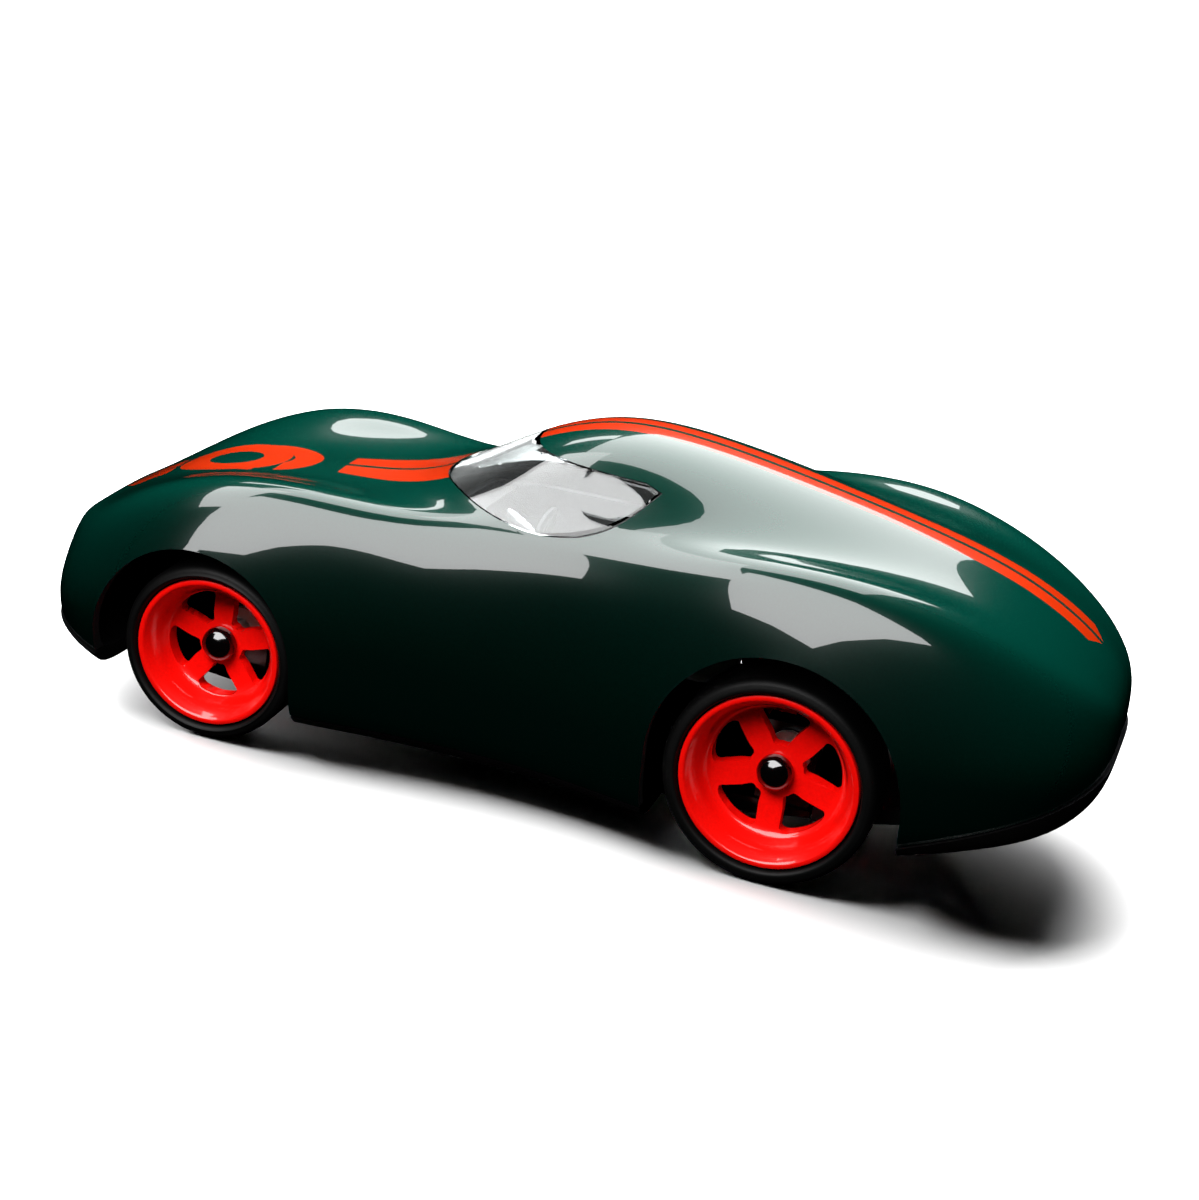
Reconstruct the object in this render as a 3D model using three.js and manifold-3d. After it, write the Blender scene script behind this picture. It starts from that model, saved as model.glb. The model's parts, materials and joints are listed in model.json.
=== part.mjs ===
// A 1:24 die-cast collector car: a streamlined two-seat racing coupe of the 1950s.
// Millimetres, +X to the nose, +Y to the car's left, +Z up, origin on the ground under the middle.
import * as THREE from "three";
import { LoftGeometry } from "three/addons/geometries/LoftGeometry.js";
import { mergeVertices } from "three/addons/utils/BufferGeometryUtils.js";
import Module from "manifold-3d";

const wasm = await Module();
wasm.setup();

// ---- driving dimensions ------------------------------------------------------------------

const BODY_LENGTH = 178;
const BODY_WIDTH = 73;
const BODY_HEIGHT = 60;             // top of the roof above the ground
const FRONT_OVERHANG = 34;          // nose to front axle
const REAR_OVERHANG = 49;           // tail to rear axle
const BODY_WALL = 2.0;
const SPLIT_Z = 0.13 * BODY_HEIGHT; // height of the joint between the body and the base pan
const PAN_FLOOR_Z = 0.075 * BODY_HEIGHT;    // height of the base pan's flat underside
const FIT_GAP = 0.3;                // clearance between pieces that touch

const FRONT_TYRE_RADIUS = 14.9;
const REAR_TYRE_RADIUS = 17.1;
const FRONT_RIM_RADIUS = 12.5;
const REAR_RIM_RADIUS = 14.4;
const FRONT_TYRE_WIDTH = 10;
const REAR_TYRE_WIDTH = 11.5;
const TRACK = 57;                   // between the outer faces of the rims
const FRONT_ARCH_CLEARANCE = 2.5;   // arch radius less tyre radius
const REAR_ARCH_CLEARANCE = 3.6;
const FRONT_ARCH_SHIFT = [1.7, 0.8];    // arch centre from wheel centre, along X and Z
const REAR_ARCH_SHIFT = [-1.2, 1.7];
const WELL_CLEARANCE = 2.5;         // inner face of a tyre to the side of its well
const LIP_PROUD = 0.5;              // how far the lip and the valance stand outside the body

const AXLE_RADIUS = 1.5;
const BEARING_Y = TRACK / 2 - 16;   // middle of a bearing block
const BEARING_WIDTH = 4;
const BUSH_WALL = 0.9;
const BUSH_FLANGE = 1.0;

const GLASS_THICKNESS = 1.2;
const SCREW_SHANK_RADIUS = 1.1;
const SCREW_HEAD_RADIUS = 2.2;
const SCREW_HEAD_HEIGHT = 1.4;
const SCREW_LENGTH = 9;
const SCREW_RECESS = 0.1;           // how far a screw head sits above the flat underside
const BOSS_WALL = 1.7;

// ---- body sections -----------------------------------------------------------------------

// Each row is one cross-section, tail to nose. x is a share of the half length, the y values are
// shares of the half width and the z values are shares of the height:
// x, half width, underside, widest height, fender y and z, valley y and z, roof side y and z, spine.
const SECTIONS = [
  [-1.000, 0.44, 0.350, 0.483, 0.33, 0.567, 0.22, 0.583, 0.11, 0.592, 0.600],
  [-0.921, 0.79, 0.275, 0.483, 0.58, 0.680, 0.39, 0.687, 0.19, 0.708, 0.725],
  [-0.787, 0.93, 0.215, 0.500, 0.71, 0.800, 0.49, 0.785, 0.25, 0.808, 0.833],
  [-0.629, 1.01, 0.150, 0.500, 0.80, 0.895, 0.55, 0.830, 0.27, 0.858, 0.900],
  [-0.472, 1.01, 0.100, 0.500, 0.82, 0.925, 0.58, 0.830, 0.30, 0.895, 0.950],
  [-0.315, 0.93, 0.070, 0.483, 0.79, 0.875, 0.58, 0.830, 0.33, 0.935, 0.990],
  [-0.157, 0.82, 0.066, 0.467, 0.71, 0.790, 0.53, 0.820, 0.33, 0.975, 1.018],
  [0.000, 0.75, 0.066, 0.450, 0.66, 0.750, 0.49, 0.800, 0.34, 0.975, 1.020],
  [0.157, 0.75, 0.066, 0.433, 0.64, 0.733, 0.46, 0.767, 0.33, 0.883, 0.920],
  [0.315, 0.79, 0.068, 0.433, 0.66, 0.735, 0.46, 0.725, 0.25, 0.728, 0.735],
  [0.472, 0.89, 0.072, 0.450, 0.71, 0.788, 0.46, 0.720, 0.22, 0.693, 0.708],
  [0.652, 0.96, 0.096, 0.433, 0.77, 0.762, 0.49, 0.718, 0.22, 0.660, 0.672],
  [0.820, 0.92, 0.118, 0.367, 0.74, 0.600, 0.49, 0.608, 0.22, 0.595, 0.600],
  [0.944, 0.73, 0.167, 0.317, 0.56, 0.445, 0.41, 0.480, 0.19, 0.485, 0.488],
  [1.000, 0.41, 0.225, 0.333, 0.30, 0.430, 0.22, 0.450, 0.11, 0.450, 0.450],
];
const TAIL_TIP = 0.475;             // height of the rearmost point, as a share of the height
const NOSE_TIP = 0.342;             // height of the foremost point, as a share of the height
const ALONG_STEPS = 2;              // facets between two sections
const AROUND_STEPS = 2;             // facets between two points of a section

const half = { x: BODY_LENGTH / 2, y: BODY_WIDTH / 2, z: BODY_HEIGHT };
const frontAxleX = half.x - FRONT_OVERHANG;
const rearAxleX = REAR_OVERHANG - half.x;

// One closed ring of control points, from the underside up the left side and down the right.
function controlRing([x, w, zb, zw, yc, zc, yv, zv, yr, zr, zt]) {
  const left = [
    [0, zb], [0.55 * w, zb], [0.92 * w, zb + 0.008], [w, (zb + zw) / 2], [w, zw],
    [yc, zc], [yv, zv], [yr, zr], [0, zt],
  ];
  const right = left.slice(1, -1).reverse().map(([y, z]) => [-y, z]);
  return [...left, ...right].map(([y, z]) => new THREE.Vector3(x * half.x, y * half.y, z * half.z));
}

// The control net, with each end closed on its tip and continued past it by reflection.
function controlNet() {
  const rings = SECTIONS.map(controlRing);
  const tip = (ring, height) => ring.map((p) => new THREE.Vector3(p.x, 0, height * half.z));
  const past = (ring, tips) => ring.map((p, i) => new THREE.Vector3(p.x, -p.y, 2 * tips[i].z - p.z));
  const tail = tip(rings[0], TAIL_TIP);
  const nose = tip(rings.at(-1), NOSE_TIP);
  return [past(rings[0], tail), tail, ...rings, nose, past(rings.at(-1), nose)];
}

// Weights of a uniform cubic B-spline and of its derivative.
const weights = (t) => [
  (1 - t) ** 3, 3 * t ** 3 - 6 * t ** 2 + 4, -3 * t ** 3 + 3 * t ** 2 + 3 * t + 1, t ** 3,
].map((w) => w / 6);
const slopes = (t) => [
  -((1 - t) ** 2), 3 * t ** 2 - 4 * t, -3 * t ** 2 + 2 * t + 1, t ** 2,
].map((w) => w / 2);

const NET = controlNet();

// A point of the body's surface, moved inwards along the normal by the given depth.
function surfacePoint(along, around, depth) {
  const last = NET.length - 4;
  const i = Math.min(Math.floor(along), last);
  const j = Math.floor(around);
  const [wu, du] = [weights(along - i), slopes(along - i)];
  const [wv, dv] = [weights(around - j), slopes(around - j)];
  const point = new THREE.Vector3();
  const tangentU = new THREE.Vector3();
  const tangentV = new THREE.Vector3();
  for (let a = 0; a < 4; a++) {
    const ring = NET[i + a];
    for (let b = 0; b < 4; b++) {
      const control = ring[(j + b) % ring.length];
      point.addScaledVector(control, wu[a] * wv[b]);
      tangentU.addScaledVector(control, du[a] * wv[b]);
      tangentV.addScaledVector(control, wu[a] * dv[b]);
    }
  }
  const inwards = tangentU.cross(tangentV);
  if (inwards.length() < 1e-6) inwards.set(i < 1 ? 1 : -1, 0, 0);   // at the tips of the tail and nose
  return point.addScaledVector(inwards.normalize(), depth);
}

// The closed solid inside the body's surface, at a depth below it.
function bodySolid(depth) {
  const spans = NET.length - 3;
  const around = NET[0].length;
  const sections = Array.from({ length: spans * ALONG_STEPS + 1 }, (_, along) => Array.from(
    { length: around * AROUND_STEPS },
    (_, k) => surfacePoint(along / ALONG_STEPS, k / AROUND_STEPS, depth),
  ));
  return toSolid(new LoftGeometry(sections));
}

// ---- solids ------------------------------------------------------------------------------

function toSolid(geometry) {
  const bare = new THREE.BufferGeometry().setAttribute("position", geometry.attributes.position);
  const merged = mergeVertices(bare.setIndex(geometry.index), 1e-4);
  const corners = merged.index.array;
  const triangles = [];
  for (let k = 0; k < corners.length; k += 3) {
    const triangle = corners.slice(k, k + 3);
    if (new Set(triangle).size === 3) triangles.push(...triangle);
  }
  return new wasm.Manifold(new wasm.Mesh({
    numProp: 3,
    vertProperties: new Float32Array(merged.attributes.position.array),
    triVerts: new Uint32Array(triangles),
  }));
}

function toGeometry(solid) {
  const mesh = solid.getMesh();
  const geometry = new THREE.BufferGeometry();
  geometry.setAttribute("position", new THREE.BufferAttribute(new Float32Array(mesh.vertProperties), 3));
  geometry.setIndex(new THREE.BufferAttribute(new Uint32Array(mesh.triVerts), 1));
  geometry.computeVertexNormals();
  return geometry;
}

const join = (...solids) => solids.reduce((a, b) => a.add(b));
const cut = (solid, ...tools) => tools.reduce((a, b) => a.subtract(b), solid);

function box(x0, x1, y0, y1, z0, z1) {
  const geometry = new THREE.BoxGeometry(x1 - x0, y1 - y0, z1 - z0);
  return toSolid(geometry.translate((x0 + x1) / 2, (y0 + y1) / 2, (z0 + z1) / 2));
}

function mirrored(x0, x1, y0, y1, z0, z1) {
  return join(box(x0, x1, y0, y1, z0, z1), box(x0, x1, -y1, -y0, z0, z1));
}

// A rod along Z from z0 to z1.
function rodZ(radius, x, y, z0, z1, sides = 14) {
  const geometry = new THREE.CylinderGeometry(radius, radius, z1 - z0, sides);
  return toSolid(geometry.rotateX(Math.PI / 2).translate(x, y, (z0 + z1) / 2));
}

// A rod along Y from y0 to y1.
function rodY(radius, x, z, y0, y1, sides = 16) {
  const geometry = new THREE.CylinderGeometry(radius, radius, y1 - y0, sides);
  return toSolid(geometry.translate(x, (y0 + y1) / 2, z));
}

// A side-view outline in X and Z, drawn out along Y between two widths.
function sidePlate(outline, y0, y1) {
  const shape = new THREE.Shape(outline.map(([x, z]) => new THREE.Vector2(x, z)));
  const geometry = new THREE.ExtrudeGeometry(shape, { depth: y1 - y0, bevelEnabled: false });
  return toSolid(geometry.rotateX(Math.PI / 2).translate(0, y1, 0));
}

// A profile of radius and Y, turned about Y.
function ringOf(profile, sides) {
  return new THREE.LatheGeometry(profile.map(([r, y]) => new THREE.Vector2(r, y)), sides);
}

function mesh(name, geometry, material) {
  const piece = new THREE.Mesh(geometry, material);
  piece.name = name;
  return piece;
}

function finish(color, roughness, metalness) {
  return new THREE.MeshStandardMaterial({ color, roughness, metalness });
}

const GREEN_PAINT = finish(0x004b3c, 0.15, 0.2);
const BLACK_PLASTIC = finish(0x0c0c0d, 0.45, 0);
const TRIM_BLACK = finish(0x141416, 0.7, 0);
const SMOKED_CLEAR = finish(0x9aa3a5, 0.05, 0);
const RED_RIM = finish(0xd21a08, 0.3, 0.1);
const RUBBER = finish(0x101010, 0.85, 0);
const GLOSS_BLACK = finish(0x050505, 0.1, 0);
const STEEL = finish(0xb8bcc0, 0.3, 1);
const NYLON = finish(0xd8d6cc, 0.5, 0);

// ---- body, glass, pan and lips -----------------------------------------------------------

const WHEELS = [
  {
    end: "front", x: frontAxleX, tyre: FRONT_TYRE_RADIUS, rim: FRONT_RIM_RADIUS,
    width: FRONT_TYRE_WIDTH, clearance: FRONT_ARCH_CLEARANCE, shift: FRONT_ARCH_SHIFT,
    turn: -Math.PI / 2,
  },
  {
    end: "rear", x: rearAxleX, tyre: REAR_TYRE_RADIUS, rim: REAR_RIM_RADIUS,
    width: REAR_TYRE_WIDTH, clearance: REAR_ARCH_CLEARANCE, shift: REAR_ARCH_SHIFT,
    turn: Math.PI / 2,
  },
];
const TYRE_BULGE = 0.6;             // how far a tyre stands outside its rim face
const ARCH_FACETS = 16;
const REACH = 200;                  // longer than the car, for cutting tools

const panFrontX = frontAxleX + 13;
const panRearX = rearAxleX - 5;
const LIP_NOSE_Z = 0.225 * BODY_HEIGHT;     // height of the front lip's joint at the nose
const LIP_TAIL_Z = 0.425 * BODY_HEIGHT;     // height of the rear valance's joint at the tail
const LIP_TAIL_SLOPE = 0.47;        // how fast that joint climbs towards the tail

// Everything under the joint between the painted body and the black parts, lowered by a gap.
function underBody(drop) {
  return sidePlate([
    [-REACH, -10], [REACH, -10], [REACH, LIP_NOSE_Z - drop], [half.x, LIP_NOSE_Z - drop],
    [frontAxleX + 17, SPLIT_Z + 3 - drop], [frontAxleX - 9, SPLIT_Z + 2 - drop],
    [frontAxleX - 17, SPLIT_Z - drop], [rearAxleX + 16, SPLIT_Z - drop],
    [rearAxleX + 8, SPLIT_Z + 2 - drop], [rearAxleX - 16, SPLIT_Z + 4 - drop],
    [-half.x, LIP_TAIL_Z - drop], [-REACH, LIP_TAIL_Z + LIP_TAIL_SLOPE * (REACH - half.x) - drop],
  ], -REACH, REACH);
}

// The cabin is drawn for a body of this size, and follows the body in proportion.
const follow = { x: half.x / 89, y: half.y / 36.5, z: half.z / 60 };

// The glazing wraps round the cockpit: seen from the side it is a teardrop with a level top, and
// seen from above its base is half an ellipse.
const WINDOW = {
  baseX: 26.5 * follow.x, baseZ: 43.3 * follow.z,
  roofZ: 55.2 * follow.z, roofX: -10.5 * follow.x,
  halfWidth: 21.5 * follow.y, sweepX: 26 * follow.x,
};
const WINDOW_LOWER = [
  [-13.5, 54.4], [-9, 49.8], [-4.5, 47.2], [2, 45.2], [9, 44.0], [17, 43.4],
].map(([x, z]) => [x * follow.x, z * follow.z]);

// The two outlines together, each made smaller by the inset.
function windowPlate(inset) {
  const { baseX, baseZ, roofZ, roofX, halfWidth, sweepX } = WINDOW;
  const [[tipX, tipZ], ...rest] = WINDOW_LOWER;
  const lower = new THREE.SplineCurve([
    [tipX + 2 * inset, tipZ - inset],
    ...rest.map(([x, z]) => [x, z + inset]),
    [baseX, baseZ + inset],
  ].map(([x, z]) => new THREE.Vector2(x, z)));
  const outline = lower.getPoints(14).map((p) => [p.x, p.y]);
  const side = sidePlate([...outline, [baseX, roofZ - inset], [roofX, roofZ - inset]], -REACH, REACH);
  const base = new THREE.Shape().moveTo(-REACH, -halfWidth + inset).lineTo(0, -halfWidth + inset);
  base.ellipse(0, halfWidth - inset, sweepX - inset, halfWidth - inset, -Math.PI / 2, Math.PI / 2, false, 0);
  base.lineTo(-REACH, halfWidth - inset);
  const plan = new THREE.ExtrudeGeometry(base, {
    depth: BODY_HEIGHT + 10, bevelEnabled: false, curveSegments: 12,
  });
  return side.intersect(toSolid(plan));
}

const TUB = {
  rear: -16 * follow.x, front: 25 * follow.x, halfWidth: 15 * follow.y,
  floor: 16 * follow.z, rim: 41 * follow.z, wall: 1.5,
};

// The screws stand just ahead of the tub and just behind it.
const frontBossX = TUB.front + 10 * follow.x;
const rearBossX = TUB.rear - 4;
const BOSSES = [
  { name: "screw_front_left", x: frontBossX, y: 12 },
  { name: "screw_front_right", x: frontBossX, y: -12 },
  { name: "screw_rear_left", x: rearBossX, y: 9 },
  { name: "screw_rear_right", x: rearBossX, y: -9 },
];
const bossRadius = SCREW_SHANK_RADIUS + FIT_GAP + BOSS_WALL;

const OUTER = bodySolid(0);
const INNER = bodySolid(BODY_WALL);
const LINER = bodySolid(BODY_WALL + FIT_GAP);
const WELLS = wheelWells();

// The wheel openings: a round top on straight sides, cut in from each side as far as the well.
function wheelWells() {
  return WHEELS.map(({ x, tyre, clearance, shift, width }) => {
    const radius = tyre + clearance;
    const [middleX, middleZ] = [x + shift[0], tyre + shift[1]];
    const arch = new THREE.Shape().absarc(middleX, middleZ, radius, 0, Math.PI);
    const outline = arch.getPoints(ARCH_FACETS).map((p) => [p.x, p.y]);
    outline.push([middleX - radius, -10], [middleX + radius, -10]);
    const inner = TRACK / 2 + TYRE_BULGE - width - WELL_CLEARANCE;
    return join(sidePlate(outline, inner, REACH), sidePlate(outline, -REACH, -inner));
  });
}

function makeBodyShell() {
  const shell = cut(OUTER, INNER, underBody(0), windowPlate(0), ...WELLS);
  const skinCore = bodySolid(BODY_WALL / 2);
  const bosses = BOSSES.map(({ x, y }) => {
    const post = rodZ(bossRadius, x, y, SPLIT_Z, BODY_HEIGHT + 5).intersect(skinCore);
    return cut(post, rodZ(SCREW_SHANK_RADIUS + FIT_GAP, x, y, 0, SPLIT_Z + SCREW_LENGTH));
  });
  return join(shell, ...bosses);
}

function makeGlazing() {
  return cut(OUTER, bodySolid(GLASS_THICKNESS)).intersect(windowPlate(FIT_GAP));
}

function makePan() {
  const slab = OUTER.intersect(underBody(FIT_GAP))
    .intersect(box(panRearX, panFrontX, -REACH, REACH, PAN_FLOOR_Z, SPLIT_Z));
  const blocks = WHEELS.map((wheel) => mirrored(
    wheel.x - 4.5, wheel.x + 4.5, BEARING_Y - BEARING_WIDTH / 2, BEARING_Y + BEARING_WIDTH / 2,
    SPLIT_Z - FIT_GAP - 1, wheel.tyre + 4.5,
  ));
  const bores = WHEELS.map((wheel) => rodY(
    AXLE_RADIUS + BUSH_WALL + 2 * FIT_GAP, wheel.x, wheel.tyre, -REACH, REACH));
  const holes = BOSSES.flatMap(({ x, y }) => [
    rodZ(SCREW_SHANK_RADIUS + FIT_GAP, x, y, -5, REACH),
    rodZ(SCREW_HEAD_RADIUS + FIT_GAP, x, y, -5, PAN_FLOOR_Z + SCREW_HEAD_HEIGHT),
  ]);
  return cut(join(slab, ...blocks), ...WELLS, ...bores, ...holes);
}

function makeLip(x0, x1) {
  const block = bodySolid(-LIP_PROUD).intersect(underBody(FIT_GAP))
    .intersect(box(x0, x1, -REACH, REACH, 0, BODY_HEIGHT));
  return cut(block, INNER, ...WELLS);
}

// ---- cockpit -----------------------------------------------------------------------------

function makeTub() {
  const outside = box(TUB.rear, TUB.front, -TUB.halfWidth, TUB.halfWidth, TUB.floor, TUB.rim);
  const inside = box(
    TUB.rear + TUB.wall, TUB.front - TUB.wall, TUB.wall - TUB.halfWidth, TUB.halfWidth - TUB.wall,
    TUB.floor + TUB.wall, TUB.rim + 1);
  const legs = [TUB.rear + 6, TUB.front - 7].map((x) => mirrored(
    x - 2, x + 2, 7, 11, SPLIT_Z, TUB.floor + TUB.wall / 2));
  return cut(join(outside.intersect(LINER), ...legs), inside);
}

const SEAT = { x: TUB.rear + 10, width: 12, y: 7, cushion: 6, back: 31 * follow.z };

function makeSeat(y) {
  const bottom = TUB.floor + TUB.wall + FIT_GAP;
  const outline = [
    [SEAT.x - 6, bottom], [SEAT.x + 13, bottom], [SEAT.x + 14, bottom + SEAT.cushion],
    [SEAT.x + 1, bottom + SEAT.cushion - 1], [SEAT.x - 3, bottom + SEAT.back],
    [SEAT.x - 6, bottom + SEAT.back + 1], [SEAT.x - 8, bottom + SEAT.back - 1],
  ];
  return sidePlate(outline, y - SEAT.width / 2, y + SEAT.width / 2).intersect(LINER);
}

const DASH = { depth: 4, height: 5, top: TUB.rim - 1 };

function makeDashboard() {
  const back = TUB.front - TUB.wall - FIT_GAP;
  const reachY = TUB.halfWidth - TUB.wall - FIT_GAP;
  return box(back - DASH.depth, back, -reachY, reachY, DASH.top - DASH.height, DASH.top).intersect(LINER);
}

const COLUMN = { y: -7, z: TUB.rim - 4, radius: 0.8, length: 6, wheelRadius: 4.6, rimRadius: 0.7 };

function steeringGroup() {
  const group = new THREE.Group();
  group.position.set(TUB.front - TUB.wall - DASH.depth - 2 * FIT_GAP, COLUMN.y, COLUMN.z);
  group.rotation.y = Math.PI / 2 - 0.35;
  const column = new THREE.CylinderGeometry(COLUMN.radius, COLUMN.radius, COLUMN.length, 12);
  column.rotateX(Math.PI / 2).translate(0, 0, -COLUMN.length / 2 - 0.6);
  const rim = toSolid(new THREE.TorusGeometry(COLUMN.wheelRadius, COLUMN.rimRadius, 6, 20));
  const spokes = [0, 1, 2].map((k) => {
    const bar = new THREE.BoxGeometry(COLUMN.wheelRadius, 1, 0.6).translate(COLUMN.wheelRadius / 2, 0, 0);
    return toSolid(bar.rotateZ(Math.PI / 2 + k * 2 * Math.PI / 3));
  });
  const hub = toSolid(new THREE.CylinderGeometry(1.3, 1.3, 1, 14).rotateX(Math.PI / 2));
  const wheel = toGeometry(join(rim, hub, ...spokes));
  wheel.translate(0, 0, -COLUMN.length - 0.6 - 0.5 - FIT_GAP);
  group.add(mesh("steering_column", column, STEEL), mesh("steering_wheel", wheel, TRIM_BLACK));
  return group;
}

// ---- screws ------------------------------------------------------------------------------

function makeScrew({ x, y }) {
  const z0 = PAN_FLOOR_Z + SCREW_RECESS;
  const head = rodZ(SCREW_HEAD_RADIUS, x, y, z0, z0 + SCREW_HEAD_HEIGHT - FIT_GAP, 14);
  const shank = rodZ(SCREW_SHANK_RADIUS, x, y, z0 + 0.5, z0 + SCREW_LENGTH, 8);
  const slots = [[1.5, 0.35], [0.35, 1.5]].map(([a, b]) => box(
    x - a, x + a, y - b, y + b, z0 - 1, z0 + 0.7));
  return cut(join(head, shank), ...slots);
}

// ---- wheels ------------------------------------------------------------------------------

const SPOKES = 5;
const RIM_LIP = 1.0;                // radial height of the rim's lip over the tyre seat
const RIM_WALL = 1.1;
const DISC_DEPTH = 5.4;             // rim face to spoke face
const DISC_THICKNESS = 2.0;
const HUB_RADIUS = 3.8;
const CAP_RADIUS = 3.0;

// A rounded opening between two spokes, drawn in the plane of the disc.
function spokeOpening(angle, inner, outer) {
  const at = (r, a) => [r * Math.cos(angle + a), r * Math.sin(angle + a)];
  const [wide, narrow] = [0.46, 0.24];
  const path = new THREE.Shape();
  path.moveTo(...at(inner, 0));
  path.quadraticCurveTo(...at(inner, narrow), ...at(inner + 0.28 * (outer - inner), narrow + 0.1));
  path.lineTo(...at(outer - 0.25 * (outer - inner), wide - 0.06));
  path.quadraticCurveTo(...at(outer, wide), ...at(outer, wide - 0.18));
  path.lineTo(...at(outer * 1.01, 0));
  path.lineTo(...at(outer, 0.18 - wide));
  path.quadraticCurveTo(...at(outer, -wide), ...at(outer - 0.25 * (outer - inner), 0.06 - wide));
  path.lineTo(...at(inner + 0.28 * (outer - inner), -narrow - 0.1));
  path.quadraticCurveTo(...at(inner, -narrow), ...at(inner, 0));
  return path;
}

// The rim's outer face is at y = 0 and its inner end is at negative y.
function makeRim({ rim, width, turn }) {
  const seat = rim - RIM_LIP;
  const bore = seat - RIM_WALL;
  const depth = width - 2 * TYRE_BULGE;
  const back = -DISC_DEPTH - DISC_THICKNESS;
  const barrel = toSolid(ringOf([
    [bore, back], [bore, -depth], [seat + 0.6, -depth], [seat + 0.6, -depth + 0.8],
    [seat, -depth + 1.4], [seat, -1.8], [rim, -1.2], [rim, -0.2], [rim - 0.2, 0], [rim - 1.0, 0],
    [rim - 1.4, -0.6], [bore - 0.9, -DISC_DEPTH + 0.3], [bore - 0.9, back], [bore, back],
  ], 24));
  const disc = rodY(bore - 0.3, 0, 0, back, -DISC_DEPTH, 24);
  const openings = Array.from({ length: SPOKES }, (_, k) => {
    const outline = spokeOpening(turn + k * 2 * Math.PI / SPOKES, 0.31 * rim, 0.73 * rim);
    const plug = new THREE.ExtrudeGeometry(outline, {
      depth: 2 * width, bevelEnabled: false, curveSegments: 2,
    });
    return toSolid(plug.rotateX(Math.PI / 2));
  });
  const hub = rodY(HUB_RADIUS, 0, 0, -depth + 0.5, -DISC_DEPTH - 0.5, 16);
  const axleBore = rodY(AXLE_RADIUS + FIT_GAP, 0, 0, -REACH, -DISC_DEPTH - 1, 12);
  return cut(join(barrel, cut(disc, ...openings), hub), axleBore);
}

function makeTyre({ tyre, rim, width }) {
  const seat = rim - RIM_LIP + FIT_GAP;
  const outside = TYRE_BULGE;
  const inside = outside - width;
  return ringOf([
    [seat, -2.2], [rim + FIT_GAP, -1.3], [rim + FIT_GAP, -0.1], [rim + 0.8, outside],
    [tyre - 0.9, outside - 0.5], [tyre, outside - 2], [tyre, inside + 2], [tyre - 0.9, inside + 0.5],
    [rim + 0.8, inside], [rim + FIT_GAP, inside + 0.8], [rim + FIT_GAP, inside + 1.6],
    [seat, inside + 2.4], [seat, -2.2],
  ].reverse(), 28);
}

function makeCap() {
  return ringOf([
    [0, 0], [CAP_RADIUS, 0], [CAP_RADIUS, 0.7], [0.85 * CAP_RADIUS, 1.5], [0.5 * CAP_RADIUS, 2.2],
    [0, 2.5],
  ], 14);
}

function makeBush() {
  const bore = AXLE_RADIUS + FIT_GAP;
  const flange = bore + BUSH_WALL + 1;
  const length = BEARING_WIDTH + FIT_GAP;
  return ringOf([
    [bore, 0], [bore + BUSH_WALL, 0], [bore + BUSH_WALL, length], [flange, length],
    [flange, length + BUSH_FLANGE], [bore, length + BUSH_FLANGE], [bore, 0],
  ], 14);
}

function wheelset(wheel) {
  const { end, x, tyre } = wheel;
  const group = new THREE.Group();
  group.position.set(x, 0, tyre);
  const reach = TRACK / 2 - DISC_DEPTH - 1 - FIT_GAP;
  const axle = new THREE.CylinderGeometry(AXLE_RADIUS, AXLE_RADIUS, 2 * reach, 20);
  group.add(mesh(`${end}_axle`, axle, STEEL));
  for (const side of ["left", "right"]) {
    const corner = new THREE.Group();
    corner.rotation.z = side === "left" ? 0 : Math.PI;
    const outer = new THREE.Group();
    outer.position.y = TRACK / 2;
    const cap = mesh(`${end}_hub_cap_${side}`, makeCap(), GLOSS_BLACK);
    cap.position.y = -DISC_DEPTH + FIT_GAP;
    outer.add(
      mesh(`${end}_rim_${side}`, toGeometry(makeRim(wheel)), RED_RIM),
      mesh(`${end}_tyre_${side}`, makeTyre(wheel), RUBBER),
      cap,
    );
    corner.add(outer);
    group.add(corner);
  }
  return group;
}

function bushes({ end, x, tyre }) {
  return ["left", "right"].map((side) => {
    const bush = mesh(`${end}_bush_${side}`, makeBush(), NYLON);
    const sign = side === "left" ? 1 : -1;
    bush.position.set(x, sign * (BEARING_Y - BEARING_WIDTH / 2), tyre);
    bush.rotation.z = side === "left" ? 0 : Math.PI;
    return bush;
  });
}

// ---- the car -----------------------------------------------------------------------------

const car = new THREE.Group();
car.add(
  mesh("body_shell", toGeometry(makeBodyShell()), GREEN_PAINT),
  mesh("glazing", toGeometry(makeGlazing()), SMOKED_CLEAR),
  mesh("base_pan", toGeometry(makePan()), BLACK_PLASTIC),
  mesh("front_lip", toGeometry(makeLip(panFrontX + FIT_GAP, REACH)), BLACK_PLASTIC),
  mesh("rear_valance", toGeometry(makeLip(-REACH, panRearX - FIT_GAP)), BLACK_PLASTIC),
  mesh("cockpit_tub", toGeometry(makeTub()), TRIM_BLACK),
  mesh("seat_left", toGeometry(makeSeat(SEAT.y)), TRIM_BLACK),
  mesh("seat_right", toGeometry(makeSeat(-SEAT.y)), TRIM_BLACK),
  mesh("dashboard", toGeometry(makeDashboard()), TRIM_BLACK),
  steeringGroup(),
  ...BOSSES.map((boss) => mesh(boss.name, toGeometry(makeScrew(boss)), STEEL)),
  ...WHEELS.flatMap(bushes),
  ...WHEELS.map(wheelset),
);

export default car;
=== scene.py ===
"""Looks for a die-cast streamlined racing coupe. Metres, +X to the nose, +Y to its left, +Z up."""

import json
import math

import bmesh
import bpy
from mathutils import Matrix, Vector

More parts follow.
